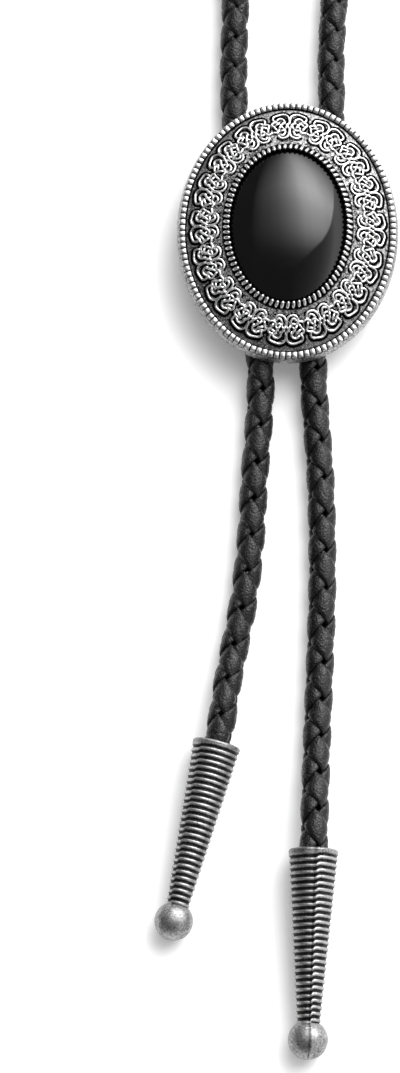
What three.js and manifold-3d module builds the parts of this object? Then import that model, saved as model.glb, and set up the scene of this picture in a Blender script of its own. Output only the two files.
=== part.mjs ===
// Bolo tie lying on a flat surface, in millimetres, +Z up.
// The origin is on the surface below the middle of the oval slide, and +Y runs to the neck loop.

import * as THREE from 'three';
import { mergeVertices } from 'three/addons/utils/BufferGeometryUtils.js';
import Module from 'manifold-3d';

const wasm = await Module();
wasm.setup();

// Braided cord
const cordDiameter = 5;
const cordSides = 10;
const cordStep = 12.5;
const meetingGap = 0.3;

// Clip on the back of the slide, which holds both runs of the cord
const clipWidth = 24;
const clipLength = 16;
const clipFloor = 0.9;
const clipRoof = 0.4;
const clipCorner = 2;
const clipHollowWidth = 5.6;
const clipHollowHeight = 4.6;
const cordClearance = 0.3;

// Oval casting of the slide
const slideWidth = 42.1;
const slideLength = 51.2;
const wallRise = 2.1;
const wallFlare = 0.45;
const skirtThickness = 0.9;
const skirtDrop = 1.2;
const lipClearance = 0.7;
const plateGap = 0.3;
const ribBand = 1;
const ribRise = 0.75;
const ribCount = 122;
const ribDepth = 0.22;
const grooveWidth = 0.4;
const grooveDepth = 0.35;
const fieldRise = 2.35;
const fieldBulge = 0.28;
const plateThickness = 1.7;
const ovalSegments = 48;

// Beaded bezel
const bezelHeight = 1.35;
const bezelWidth = 0.95;
const bezelSlope = 0.3;
const beadCount = 81;
const beadDepth = 0.3;

// Cabochon
const stoneWidth = 21.8;
const stoneLength = 29.7;
const stoneHeight = 5.4;
const stoneEdge = 1.8;
const stoneCap = 0.7;
const stoneClearance = 0.3;
const stoneSegments = 40;

// Knotwork between the ribs and the bezel
const knotCount = 16;
const knotHeight = 5.4;
const knotShare = 0.94;
const strandWidth = 0.75;
const strandHeight = 0.55;
const strandRoot = 0.25;

// Ringed tips on the two ends of the cord
const mouthDiameter = 9.05;
const neckDiameter = 4.3;
const ballDiameter = 7.2;
const tipLength = 34.2;
const rimLength = 1.1;
const rimRound = 0.45;
const ringCount = 26;
const ringDepth = 0.26;
const boreDepth = 10;
const tipSides = 14;
const rightTipGrowth = 1.03;

// Neck loop: its greatest width, how far it reaches from the slide, where the two straight legs end
// and how far its middle stands to the right of the slide's middle
const loopWidth = 179;
const loopReach = 286;
const legReach = 48;
const loopShift = -1.5;

// Legs of the neck loop from the clip up: x, y and how far the cord is lifted towards its height in the clip
const legs = {
  left: [
    [-7.6, 0.15, 1],
    [-8.6, 9, 1],
    [-9.75, 18, 0.6],
    [-10.6, 26.5, 0.2],
    [-10.85, 36, 0],
    [-10.8, legReach, 0],
  ],
  right: [
    [6.65, 0.15, 1],
    [7.15, 9, 1],
    [7.6, 18, 0.6],
    [8.05, 26.5, 0.2],
    [7.85, 36, 0],
    [8.3, legReach, 0],
  ],
};

// Half of the loop past the legs, as shares of its half width and of its reach past the legs
const loopHalf = [
  [0.124, 0.076],
  [0.195, 0.164],
  [0.408, 0.263],
  [0.693, 0.37],
  [0.916, 0.496],
  [1, 0.639],
  [0.927, 0.786],
  [0.693, 0.905],
  [0.363, 0.977],
];

// Routes of the two tails: x, y, lift towards the clip and lift towards the mouth of the tip
const tails = [
  {
    side: 'left',
    route: [
      [-7.6, -0.15, 1, 0],
      [-6.6, -9, 1, 0],
      [-5.55, -18, 0.6, 0],
      [-4.6, -27, 0.2, 0],
      [-4.75, -36, 0, 0],
      [-5.4, -47, 0, 0],
      [-5.9, -59, 0, 0],
      [-6.9, -70, 0, 0],
      [-8.4, -79, 0, 0.15],
      [-9.9, -88, 0, 0.65],
      [-10.7, -94.3, 0, 1],
    ],
    mouth: [-11.5, -98.6],
    heading: [-0.215, -0.977],
    growth: 1,
  },
  {
    side: 'right',
    route: [
      [6.65, -0.15, 1, 0],
      [6.1, -9, 1, 0],
      [5.5, -18, 0.6, 0],
      [5.4, -27, 0.2, 0],
      [6.1, -36, 0, 0],
      [7, -46, 0, 0],
      [7.5, -57, 0, 0],
      [7.7, -68, 0, 0],
      [7.55, -79, 0, 0],
      [7.3, -90, 0, 0],
      [7.1, -99, 0, 0.15],
      [6.95, -107.5, 0, 0.65],
      [6.86, -113.8, 0, 1],
    ],
    mouth: [6.8, -118.3],
    heading: [-0.014, -1],
    growth: rightTipGrowth,
  },
];

// Three-lobed outline of half a knot, as shares of its half width and half height
const knotOutline = [
  [0.08, 0.02],
  [0.14, 0.5],
  [0.3, 0.92],
  [0.62, 0.98],
  [0.84, 0.68],
  [0.74, 0.34],
  [1, 0.06],
  [0.78, -0.3],
  [0.86, -0.7],
  [0.56, -0.96],
  [0.24, -0.82],
  [0.12, -0.4],
];

// Heights and insets worked out from the sizes above
const cordRadius = cordDiameter / 2;
const tunnelRadius = cordRadius + cordClearance;
const clipCordHeight = clipFloor + tunnelRadius;
const clipHeight = clipFloor + 2 * tunnelRadius + clipRoof;
const ceilingHeight = clipHeight + plateGap;
const footHeight = cordDiameter + lipClearance;
const ribFootHeight = footHeight + wallRise;
const ribTopHeight = ribFootHeight + ribRise;
const grooveHeight = ribTopHeight - grooveDepth;
const ribInset = wallFlare + ribBand;
const fieldInset = ribInset + grooveWidth;
const recess = { across: stoneWidth / 2 + stoneClearance, along: stoneLength / 2 + stoneClearance };
const bezelFoot = {
  across: recess.across + bezelWidth + bezelSlope,
  along: recess.along + bezelWidth + bezelSlope,
};
const fieldEdge = { across: slideWidth / 2 - fieldInset, along: slideLength / 2 - fieldInset };
const bezelFootHeight = grooveHeight + fieldRise;
const bezelTopHeight = bezelFootHeight + bezelHeight;
const seatHeight = ceilingHeight + plateThickness;
const stoneBase = seatHeight + stoneClearance;

// Turn a closed geometry into a solid that can be joined and cut
function toSolid(geometry) {
  const bare = geometry.clone();
  bare.deleteAttribute('normal');
  bare.deleteAttribute('uv');
  const merged = mergeVertices(bare, 1e-4);
  return new wasm.Manifold(new wasm.Mesh({
    numProp: 3,
    vertProperties: new Float32Array(merged.attributes.position.array),
    triVerts: new Uint32Array(merged.index.array),
  }));
}

function toGeometry(solid) {
  const result = solid.getMesh();
  const geometry = new THREE.BufferGeometry();
  geometry.setAttribute('position', new THREE.BufferAttribute(new Float32Array(result.vertProperties), 3));
  geometry.setIndex(new THREE.BufferAttribute(new Uint32Array(result.triVerts), 1));
  geometry.computeVertexNormals();
  return geometry;
}

// Skin a list of rings. A closed list meets its own first ring, and an open one is shut at both ends
// by a fan round the middle of its last rings.
function skinRings(rings, closed) {
  const positions = rings.flat().flatMap((point) => [point.x, point.y, point.z]);
  const starts = rings.map((_, i) => rings.slice(0, i).reduce((sum, ring) => sum + ring.length, 0));
  const indices = [];
  const bands = closed ? rings.length : rings.length - 1;
  for (let band = 0; band < bands; band += 1) {
    const next = (band + 1) % rings.length;
    joinRings(indices, starts[band], rings[band].length, starts[next], rings[next].length);
  }
  if (!closed) {
    const first = positions.length / 3;
    const last = starts.at(-1);
    positions.push(0, 0, rings[0][0].z, 0, 0, rings.at(-1)[0].z);
    for (let i = 0; i < rings[0].length; i += 1) {
      indices.push(first, (i + 1) % rings[0].length, i);
    }
    for (let i = 0; i < rings.at(-1).length; i += 1) {
      indices.push(first + 1, last + i, last + ((i + 1) % rings.at(-1).length));
    }
  }
  const geometry = new THREE.BufferGeometry();
  geometry.setAttribute('position', new THREE.Float32BufferAttribute(positions, 3));
  geometry.setIndex(indices);
  geometry.computeVertexNormals();
  return geometry;
}

// Fill the band between two rings that start at the same angle and may differ in their number of points
function joinRings(indices, lower, lowerCount, upper, upperCount) {
  let i = 0;
  let j = 0;
  while (i < lowerCount || j < upperCount) {
    const lowerPoint = lower + (i % lowerCount);
    const upperPoint = upper + (j % upperCount);
    const lowerIsNext = (i + 1) / lowerCount <= (j + 1) / upperCount;
    if (j >= upperCount || (lowerIsNext && i < lowerCount)) {
      indices.push(lowerPoint, lower + ((i + 1) % lowerCount), upperPoint);
      i += 1;
    } else {
      indices.push(lowerPoint, upper + ((j + 1) % upperCount), upperPoint);
      j += 1;
    }
  }
}

// Points spaced evenly along an oval, starting on +X
function ovalAngles(across, along, count) {
  const oval = new THREE.EllipseCurve(0, 0, across, along);
  const points = oval.getSpacedPoints(count).slice(0, -1);
  return points.map((point) => Math.atan2(point.y / along, point.x / across));
}

function ovalRing(across, along, height, segments) {
  return ovalAngles(across, along, segments).map((angle) => (
    new THREE.Vector3(across * Math.cos(angle), along * Math.sin(angle), height)
  ));
}

function rimOval(inset, height) {
  return ovalRing(slideWidth / 2 - inset, slideLength / 2 - inset, height, ovalSegments);
}

// The field is domed: share 0 is at the foot of the bezel and share 1 at the groove inside the ribs
function fieldOval(share) {
  const slope = THREE.MathUtils.lerp(bezelFootHeight, grooveHeight, share);
  return {
    across: THREE.MathUtils.lerp(bezelFoot.across, fieldEdge.across, share),
    along: THREE.MathUtils.lerp(bezelFoot.along, fieldEdge.along, share),
    height: slope + 4 * fieldBulge * share * (1 - share),
  };
}

function fieldHeight(x, y) {
  let low = 0;
  let high = 1;
  for (let i = 0; i < 24; i += 1) {
    const middle = (low + high) / 2;
    const oval = fieldOval(middle);
    if ((x / oval.across) ** 2 + (y / oval.along) ** 2 > 1) {
      low = middle;
    } else {
      high = middle;
    }
  }
  return fieldOval(low).height;
}

// A ring of teeth round an oval, with a point on each crest and one in each gap
function toothedRing(oval, count, crest, gap) {
  return ovalAngles(oval.across, oval.along, 2 * count).map((angle, i) => {
    const [outset, height] = i % 2 === 0 ? crest : gap;
    return new THREE.Vector3(
      (oval.across + outset) * Math.cos(angle),
      (oval.along + outset) * Math.sin(angle),
      height,
    );
  });
}

function ribRings() {
  const oval = { across: slideWidth / 2 - wallFlare, along: slideLength / 2 - wallFlare };
  const shoulder = -ribBand / 3;
  return [
    toothedRing(oval, ribCount, [0, ribFootHeight], [-ribDepth, ribFootHeight]),
    toothedRing(oval, ribCount, [shoulder, ribTopHeight], [shoulder - ribDepth, ribTopHeight - ribDepth]),
    toothedRing(oval, ribCount, [-ribBand, ribTopHeight], [-ribBand, ribTopHeight - ribDepth]),
  ];
}

function beadRings() {
  const foot = bezelTopHeight - 2 * beadDepth;
  const crown = bezelWidth * 0.6;
  return [
    toothedRing(recess, beadCount, [bezelWidth, foot], [bezelWidth - beadDepth / 2, foot]),
    toothedRing(recess, beadCount, [crown, bezelTopHeight], [crown, bezelTopHeight - beadDepth]),
    toothedRing(recess, beadCount, [0, bezelTopHeight - beadDepth], [0, bezelTopHeight - 1.4 * beadDepth]),
  ];
}

// Plate, side wall, ribs, domed field and beaded bezel as one skin, from the middle of the back
// round the edge to the seat of the stone
function plateGeometry() {
  const fieldRings = [1, 0.75, 0.5, 0.25, 0].map((share) => {
    const oval = fieldOval(share);
    return ovalRing(oval.across, oval.along, oval.height, ovalSegments);
  });
  return skinRings([
    rimOval(skirtThickness + skirtDrop, ceilingHeight),
    rimOval(skirtThickness, footHeight),
    rimOval(0, footHeight),
    rimOval(wallFlare, ribFootHeight - ribDepth),
    ...ribRings(),
    rimOval(ribInset, grooveHeight),
    ...fieldRings,
    ...beadRings(),
    ovalRing(recess.across, recess.along, seatHeight, ovalSegments),
  ], false);
}

// One half of a knot: a ridge with a sharp crest along a closed outline, rooted in the field
function knotRidge(oval, perimeter, knot, mirror) {
  const halfWidth = (perimeter / knotCount) * knotShare / 2;
  const outline = knotOutline.map(([across, out]) => {
    const along = 0.25 + knot / knotCount + (mirror * across * halfWidth) / perimeter;
    const share = THREE.MathUtils.euclideanModulo(along, 1);
    const point = oval.getPointAt(share);
    const tangent = oval.getTangentAt(share);
    const offset = (out * knotHeight) / 2;
    return new THREE.Vector2(point.x + tangent.y * offset, point.y - tangent.x * offset);
  });
  if (mirror < 0) {
    outline.reverse();
  }
  const stations = outline.map((point, i) => {
    const before = outline.at(i - 1);
    const after = outline[(i + 1) % outline.length];
    const run = after.clone().sub(before).normalize();
    return { point, side: new THREE.Vector2(-run.y, run.x).multiplyScalar(strandWidth / 2) };
  });
  const corner = (shift, lift) => stations.map(({ point, side }) => {
    const x = point.x + shift * side.x;
    const y = point.y + shift * side.y;
    return new THREE.Vector3(x, y, fieldHeight(point.x, point.y) + lift);
  });
  return skinRings([corner(-1, -strandRoot), corner(0, strandHeight), corner(1, -strandRoot)], true);
}

function slideGeometry() {
  const middle = fieldOval(0.5);
  const oval = new THREE.EllipseCurve(0, 0, middle.across, middle.along);
  const perimeter = oval.getLength();
  let casting = toSolid(plateGeometry());
  for (let knot = 0; knot < knotCount; knot += 1) {
    for (const mirror of [1, -1]) {
      casting = casting.add(toSolid(knotRidge(oval, perimeter, knot, mirror)));
    }
  }
  return toGeometry(casting);
}

// Cabochon with a short upright edge under a dome. The dome is the share stoneCap of a full half oval,
// so it doesn't start quite upright.
function stoneGeometry() {
  const dome = [1, 0.97, 0.9, 0.78, 0.62, 0.42, 0.2];
  const rim = Math.sqrt(1 - stoneCap ** 2);
  const rise = (share) => (Math.sqrt(1 - (stoneCap * share) ** 2) - rim) / (1 - rim);
  const rings = dome.map((share) => ovalRing(
    (share * stoneWidth) / 2,
    (share * stoneLength) / 2,
    stoneBase + stoneEdge + (stoneHeight - stoneEdge) * rise(share),
    stoneSegments,
  ));
  const base = ovalRing(stoneWidth / 2, stoneLength / 2, stoneBase, stoneSegments);
  return skinRings([base, ...rings], false);
}

function tubeSection(radius) {
  const points = Array.from({ length: cordSides }, (_, i) => {
    const angle = (2 * Math.PI * (i + 0.5)) / cordSides;
    return new THREE.Vector2(radius * Math.cos(angle), radius * Math.sin(angle));
  });
  return new THREE.Shape(points);
}

function tubeGeometry(points, radius) {
  const path = new THREE.CatmullRomCurve3(points, false, 'centripetal');
  return new THREE.ExtrudeGeometry(tubeSection(radius), {
    steps: Math.round(path.getLength() / cordStep),
    bevelEnabled: false,
    extrudePath: path,
  });
}

function liftedHeight(clipLift, tipLift, mouthHeight) {
  return cordRadius + clipLift * (clipCordHeight - cordRadius) + tipLift * (mouthHeight - cordRadius);
}

function legPoints(leg) {
  return leg.map(([x, y, lift]) => new THREE.Vector3(x, y, liftedHeight(lift, 0, 0)));
}

function loopPoint(across, along) {
  const x = loopShift + (across * loopWidth) / 2;
  return new THREE.Vector3(x, THREE.MathUtils.lerp(legReach, loopReach, along), cordRadius);
}

const neckPoints = [
  ...legPoints(legs.left),
  ...loopHalf.map(([across, along]) => loopPoint(-across, along)),
  loopPoint(0, 1),
  ...loopHalf.map(([across, along]) => loopPoint(across, along)).reverse(),
  ...legPoints(legs.right).reverse(),
];

// The tip rests on the rim of its mouth and on its ball, and the cord enters it along its axis
function tipPlace(tail) {
  const mouthRadius = (tail.growth * mouthDiameter) / 2;
  const ballRadius = (tail.growth * ballDiameter) / 2;
  const fall = Math.asin((mouthRadius - ballRadius) / (tail.growth * tipLength));
  const [across, along] = tail.heading;
  const axis = new THREE.Vector3(across, along, 0).normalize().multiplyScalar(Math.cos(fall));
  axis.z = -Math.sin(fall);
  return { mouth: new THREE.Vector3(...tail.mouth, mouthRadius), axis };
}

function tailPoints(tail) {
  const { mouth, axis } = tipPlace(tail);
  const lying = tail.route.map(([x, y, clipLift, tipLift]) => (
    new THREE.Vector3(x, y, liftedHeight(clipLift, tipLift, mouth.z))
  ));
  const inTip = [0, 0.5, 1].map((share) => (
    mouth.clone().addScaledVector(axis, share * (boreDepth - meetingGap))
  ));
  return [...lying, ...inTip];
}

// Rounded block with a tunnel for each run of the cord and a hollow between them
function clipGeometry() {
  const halfWidth = clipWidth / 2 - clipCorner;
  const halfLength = clipLength / 2 - clipCorner;
  const outline = new THREE.Shape();
  outline.absarc(halfWidth, halfLength, clipCorner, 0, Math.PI / 2);
  outline.absarc(-halfWidth, halfLength, clipCorner, Math.PI / 2, Math.PI);
  outline.absarc(-halfWidth, -halfLength, clipCorner, Math.PI, Math.PI * 1.5);
  outline.absarc(halfWidth, -halfLength, clipCorner, Math.PI * 1.5, Math.PI * 2);
  const block = new THREE.ExtrudeGeometry(outline, {
    depth: clipHeight,
    bevelEnabled: false,
    curveSegments: 4,
  });
  const hollow = new THREE.BoxGeometry(clipHollowWidth, 2 * clipLength, clipHollowHeight);
  hollow.translate((neckPoints[0].x + neckPoints.at(-1).x) / 2, 0, clipHeight / 2);
  const [leftTail, rightTail] = tails.map(tailPoints);
  const runs = [
    [...neckPoints.slice(1, 4).reverse(), ...leftTail.slice(1, 3)],
    [...neckPoints.slice(-4, -1), ...rightTail.slice(1, 3)],
  ];
  const openRadius = tunnelRadius / Math.cos(Math.PI / cordSides);
  let clip = toSolid(block).subtract(toSolid(hollow));
  for (const run of runs) {
    clip = clip.subtract(toSolid(tubeGeometry(run, openRadius)));
  }
  return toGeometry(clip);
}

// Tapered tip with cut rings, a ball at its small end and a bore for the cord, turned about its axis
function tipGeometry(growth) {
  const mouthRadius = mouthDiameter / 2;
  const neckRadius = neckDiameter / 2;
  const ballRadius = ballDiameter / 2;
  const boreRadius = (cordRadius + cordClearance) / Math.cos(Math.PI / tipSides) / growth;
  const coneEnd = tipLength - Math.sqrt(ballRadius ** 2 - neckRadius ** 2);
  const pitch = (coneEnd - rimLength) / ringCount;
  const coneRadius = (along) => THREE.MathUtils.mapLinear(along, 0, coneEnd, mouthRadius, neckRadius);
  const profile = [
    new THREE.Vector2(0, boreDepth / growth),
    new THREE.Vector2(boreRadius, boreDepth / growth),
    new THREE.Vector2(boreRadius, 0),
    new THREE.Vector2(mouthRadius - rimRound, 0),
    new THREE.Vector2(mouthRadius, rimRound),
    new THREE.Vector2(coneRadius(rimLength), rimLength),
  ];
  for (let ring = 0; ring < ringCount; ring += 1) {
    const groove = rimLength + (ring + 0.45) * pitch;
    const crest = rimLength + (ring + 1) * pitch;
    profile.push(new THREE.Vector2(coneRadius(groove) - ringDepth, groove));
    if (ring < ringCount - 1) {
      profile.push(new THREE.Vector2(coneRadius(crest), crest));
    }
  }
  const ballStart = Math.asin(neckRadius / ballRadius);
  const ballSteps = 8;
  for (let step = 0; step < ballSteps; step += 1) {
    const angle = THREE.MathUtils.lerp(ballStart, Math.PI, step / ballSteps);
    profile.push(new THREE.Vector2(
      ballRadius * Math.sin(angle),
      tipLength - ballRadius * Math.cos(angle),
    ));
  }
  profile.push(new THREE.Vector2(0, tipLength + ballRadius));
  return new THREE.LatheGeometry(profile, tipSides).scale(growth, growth, growth);
}

const silver = new THREE.MeshStandardMaterial({ color: 0x9a9a98, roughness: 0.38, metalness: 0.9 });
const blackStone = new THREE.MeshStandardMaterial({ color: 0x070708, roughness: 0.05, metalness: 0 });
const nickel = new THREE.MeshStandardMaterial({ color: 0xb4b2ac, roughness: 0.35, metalness: 0.95 });
const leather = new THREE.MeshStandardMaterial({ color: 0x17161a, roughness: 0.5, metalness: 0 });

const boloTie = new THREE.Group();

function addPiece(name, geometry, material) {
  const mesh = new THREE.Mesh(geometry, material.clone());
  mesh.name = name;
  boloTie.add(mesh);
  return mesh;
}

addPiece('slide', slideGeometry(), silver);
addPiece('stone', stoneGeometry(), blackStone);
addPiece('back_clip', clipGeometry(), nickel);
addPiece('neck_cord', tubeGeometry(neckPoints, cordRadius), leather);

for (const tail of tails) {
  addPiece(`tail_${tail.side}`, tubeGeometry(tailPoints(tail), cordRadius), leather);
  const { mouth, axis } = tipPlace(tail);
  const tip = addPiece(`tip_${tail.side}`, tipGeometry(tail.growth), silver);
  tip.position.copy(mouth);
  tip.quaternion.setFromUnitVectors(new THREE.Vector3(0, 1, 0), axis);
}

export default boloTie;
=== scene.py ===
import math

import bpy
import numpy as np
from mathutils import Matrix, Vector


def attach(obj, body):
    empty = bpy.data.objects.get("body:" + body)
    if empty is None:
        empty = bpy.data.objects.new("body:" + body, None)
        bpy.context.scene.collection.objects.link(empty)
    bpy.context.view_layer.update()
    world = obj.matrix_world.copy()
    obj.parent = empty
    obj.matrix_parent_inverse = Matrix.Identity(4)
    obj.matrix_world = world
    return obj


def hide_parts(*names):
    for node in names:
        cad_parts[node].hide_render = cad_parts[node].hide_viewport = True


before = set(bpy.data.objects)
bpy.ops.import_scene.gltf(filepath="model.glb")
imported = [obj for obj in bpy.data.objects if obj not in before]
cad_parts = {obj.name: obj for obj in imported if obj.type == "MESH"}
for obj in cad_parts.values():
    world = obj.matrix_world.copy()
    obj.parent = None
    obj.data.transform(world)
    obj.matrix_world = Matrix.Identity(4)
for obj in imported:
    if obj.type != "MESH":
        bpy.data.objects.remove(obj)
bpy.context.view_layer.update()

mm = 0.001


camera = {
    "place": (-0.01095, -0.28298, 0.97437),
    "target": (-0.01547, -0.05808, 0.0),
    "pictureUp": (-0.02007, 0.9998, 0.0),
    "lens": 177.82, "sensor": 36, "near": 0.05, "far": 20,
}


def makeCamera():
    back = (Vector(camera["place"]) - Vector(camera["target"])).normalized()
    right = Vector(camera["pictureUp"]).cross(back).normalized()
    up = back.cross(right)
    turn = Matrix((right, up, back)).transposed().to_4x4()
    data = bpy.data.cameras.new("camera")
    data.sensor_width = camera["sensor"]
    data.lens = camera["lens"]
    data.clip_start = camera["near"]
    data.clip_end = camera["far"]
    obj = bpy.data.objects.new("camera", data)
    obj.matrix_world = Matrix.Translation(camera["place"]) @ turn
    bpy.context.collection.objects.link(obj)
    bpy.context.scene.camera = obj


makeCamera()
print("camera placed")


# Helpers for meshes, Geometry Nodes groups and materials.
def addObject(name, mesh):
    obj = bpy.data.objects.new(name, mesh)
    bpy.context.collection.objects.link(obj)
    return obj


def meshFrom(name, points, faces):
    mesh = bpy.data.meshes.new(name)
    mesh.from_pydata([tuple(p) for p in np.asarray(points)], [], [tuple(f) for f in faces])
    mesh.validate()
    mesh.update()
    mesh.shade_smooth()
    return mesh


def setAttribute(mesh, name, values):
    layer = mesh.attributes.get(name) or mesh.attributes.new(name, "FLOAT", "POINT")
    layer.data.foreach_set("value", np.asarray(values, dtype=np.float32))


# Faces between rows of equal length that each go round once.
def skinRows(rows):
    count = len(rows[0])
    around = np.arange(count)
    after = (around + 1) % count
    faces = []
    for low in range(0, (len(rows) - 1) * count, count):
        high = low + count
        faces += np.stack([low + around, low + after, high + after, high + around], 1).tolist()
    return np.concatenate(rows), faces


# The same with both ends closed. Inverted, the faces point the other way.
def solidRows(rows, inverted=False):
    skin, faces = skinRows(rows)
    count = len(rows[0])
    faces.append(list(range(count))[::-1])
    faces.append(list(range(len(skin) - count, len(skin))))
    if inverted:
        faces = [face[::-1] for face in faces]
    return skin, faces


# A node with its settings and inputs. An input is named as on the node, or i and its number.
def addNode(tree, kind, settings=None, **inputs):
    node = tree.nodes.new(kind)
    for key, value in (settings or {}).items():
        setattr(node, key, value)
    for key, value in inputs.items():
        numbered = key[0] == "i" and key[1:].isdigit()
        socket = node.inputs[int(key[1:]) if numbered else key.replace("_", " ")]
        if isinstance(value, bpy.types.NodeSocket):
            tree.links.new(value, socket)
        else:
            socket.default_value = value
    return node


# A Geometry Nodes group that starts with these named inputs.
def newTree(name, inputs):
    tree = bpy.data.node_groups.new(name, "GeometryNodeTree")
    tree.interface.new_socket("Geometry", in_out="INPUT", socket_type="NodeSocketGeometry")
    for label, value in inputs.items():
        kind = "NodeSocketInt" if isinstance(value, int) else "NodeSocketFloat"
        socket = tree.interface.new_socket(label, in_out="INPUT", socket_type=kind)
        socket.default_value = value
    tree.interface.new_socket("Geometry", in_out="OUTPUT", socket_type="NodeSocketGeometry")
    return tree, tree.nodes.new("NodeGroupInput"), tree.nodes.new("NodeGroupOutput")


def closeTree(tree, geometry, material, sink):
    real = addNode(tree, "GeometryNodeRealizeInstances", Geometry=geometry)
    smooth = addNode(tree, "GeometryNodeSetShadeSmooth", Geometry=real.outputs[0])
    paint = addNode(tree, "GeometryNodeSetMaterial", Geometry=smooth.outputs[0], Material=material)
    tree.links.new(paint.outputs[0], sink.inputs[0])


# Runs the group once on the object and keeps what it makes as a plain mesh.
def runTree(obj, tree, inputs):
    modifier = obj.modifiers.new(tree.name, "NODES")
    modifier.node_group = tree
    for item in tree.interface.items_tree:
        if item.in_out == "INPUT" and item.name in inputs:
            modifier[item.identifier] = inputs[item.name]
    graph = bpy.context.evaluated_depsgraph_get()
    mesh = bpy.data.meshes.new_from_object(
        obj.evaluated_get(graph), preserve_all_data_layers=True, depsgraph=graph)
    obj.modifiers.remove(modifier)
    obj.data = mesh
    return obj


def finishPiece(obj, slotName, *nodes):
    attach(obj, "root")
    if nodes:
        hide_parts(*nodes)


# Object coordinates in millimetres.
def inMillimetres(tree):
    place = addNode(tree, "ShaderNodeTexCoord")
    grown = addNode(tree, "ShaderNodeVectorMath", {"operation": "SCALE"}, i0=place.outputs["Object"],
                    Scale=1 / mm)
    return grown.outputs[0]


def noiseAt(tree, vector, scale, detail=3.0, rough=0.55):
    noise = addNode(tree, "ShaderNodeTexNoise", Vector=vector, Scale=scale, Detail=detail, Roughness=rough)
    return noise.outputs[0]


def roughen(tree, height, strength, depth, **inputs):
    bump = addNode(tree, "ShaderNodeBump", Height=height, Strength=strength, Distance=depth * mm, **inputs)
    return bump.outputs[0]


# A curve through stops of place and level, or of place and colour.
def ramp(tree, value, stops):
    node = addNode(tree, "ShaderNodeValToRGB", Fac=value)
    elements = node.color_ramp.elements
    while len(elements) < len(stops):
        elements.new(0.5)
    for element, (position, level) in zip(elements, stops):
        element.position = position
        element.color = (*level, 1) if isinstance(level, tuple) else (level, level, level, 1)
    return node.outputs[0]


def calc(tree, operation, a, b=0.0, c=None, clamp=False):
    inputs = {"i0": a, "i1": b}
    if c is not None:
        inputs["i2"] = c
    return addNode(tree, "ShaderNodeMath", {"operation": operation, "use_clamp": clamp}, **inputs).outputs[0]


# A curve through the stops, given in the value's own units between low and high.
def rampBetween(tree, value, stops, low, high):
    share = calc(tree, "DIVIDE", calc(tree, "SUBTRACT", value, low), high - low, clamp=True)
    return ramp(tree, share, [((at - low) / (high - low), level) for at, level in stops])


def newMaterial(name):
    material = bpy.data.materials.new(name)
    material.use_nodes = True
    return material, material.node_tree, material.node_tree.nodes["Principled BSDF"]


# Plated casting: bright where it is polished and dark where the patina stays, with fine pits. The same
# attribute also carries painted shade beside the knot strands and the tips' seams.
def antiqueMetal(name, look):
    material, tree, shader = newMaterial(name)
    place = inMillimetres(tree)
    polish = addNode(tree, "ShaderNodeAttribute", {"attribute_name": "polish"}).outputs["Fac"]
    cloud = noiseAt(tree, place, look["cloudScale"], 4.0)
    speck = noiseAt(tree, place, look["speckScale"], 2.0)
    cloudShift = calc(tree, "MULTIPLY_ADD", cloud, look["cloudAmount"], -look["cloudAmount"] / 2)
    speckShift = calc(tree, "MULTIPLY_ADD", speck, look["speckAmount"], -look["speckAmount"] / 2)
    worn = calc(tree, "ADD", calc(tree, "ADD", polish, cloudShift), speckShift, clamp=True)
    tree.links.new(ramp(tree, worn, look["colour"]), shader.inputs["Base Color"])
    tree.links.new(ramp(tree, worn, look["roughness"]), shader.inputs["Roughness"])
    shader.inputs["Metallic"].default_value = 1.0
    pits = noiseAt(tree, place, look["pitScale"], 3.0)
    tree.links.new(roughen(tree, pits, look["pitStrength"], look["pitDepth"]), shader.inputs["Normal"])
    return material


castLook = {
    "cloudScale": 0.5, "cloudAmount": 0.3, "speckScale": 2.6, "speckAmount": 1.1,
    "colour": [(0.15, 0.003), (0.32, 0.05), (0.62, 0.38), (1.0, 0.78)],
    "roughness": [(0.0, 0.6), (0.5, 0.42), (1.0, 0.26)],
    "pitScale": 2.2, "pitStrength": 0.5, "pitDepth": 0.12,
}
tipLook = {
    "cloudScale": 0.45, "cloudAmount": 0.5, "speckScale": 2.6, "speckAmount": 0.9,
    "colour": [(0.0, 0.008), (0.35, 0.04), (0.65, 0.15), (1.0, 0.42)],
    "roughness": [(0.0, 0.6), (0.5, 0.48), (1.0, 0.42)],
    "pitScale": 2.2, "pitStrength": 0.5, "pitDepth": 0.1,
}
stoneLook = {
    "colour": [(0.35, 0.001), (0.7, 0.0018)], "cloudScale": 0.25,
    "roughness": 0.035, "haze": 0.03, "hazeScale": 0.6,
}
leatherLook = {
    "colour": [(0.25, (0.0016, 0.0016, 0.0017)), (0.75, (0.006, 0.0058, 0.0062))],
    "roughness": [(0.42, 0.52), (0.58, 0.15)],
    "specular": 0.37, "cloudScale": 0.35, "patchScale": 2.6,
    "grainScale": 7.0, "grainStrength": 0.6, "grainDepth": 0.05,
    "pebbleScale": 2.8, "pebbleStrength": 0.7, "pebbleDepth": 0.15,
    "wrinkleScale": 1.5, "wrinkleStretch": 3.2, "wrinkleStrength": 0.7, "wrinkleDepth": 0.14,
}
nickelLook = {
    "colour": [(0.3, 0.42), (0.7, 0.56)], "roughness": [(0.3, 0.26), (0.7, 0.4)],
    "brushScale": 6.0, "brushStretch": (0.12, 1.6, 1.6), "brushStrength": 0.25, "brushDepth": 0.03,
}

castSilver = antiqueMetal("cast_silver", castLook)
tipSilver = antiqueMetal("tip_silver", tipLook)


def blackStone():
    material, tree, shader = newMaterial("black_stone")
    place = inMillimetres(tree)
    haze = noiseAt(tree, place, stoneLook["hazeScale"], 5.0)
    rough = calc(tree, "MULTIPLY_ADD", haze, stoneLook["haze"], stoneLook["roughness"])
    tree.links.new(rough, shader.inputs["Roughness"])
    cloud = noiseAt(tree, place, stoneLook["cloudScale"], 4.0)
    tree.links.new(ramp(tree, cloud, stoneLook["colour"]), shader.inputs["Base Color"])
    return material
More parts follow.
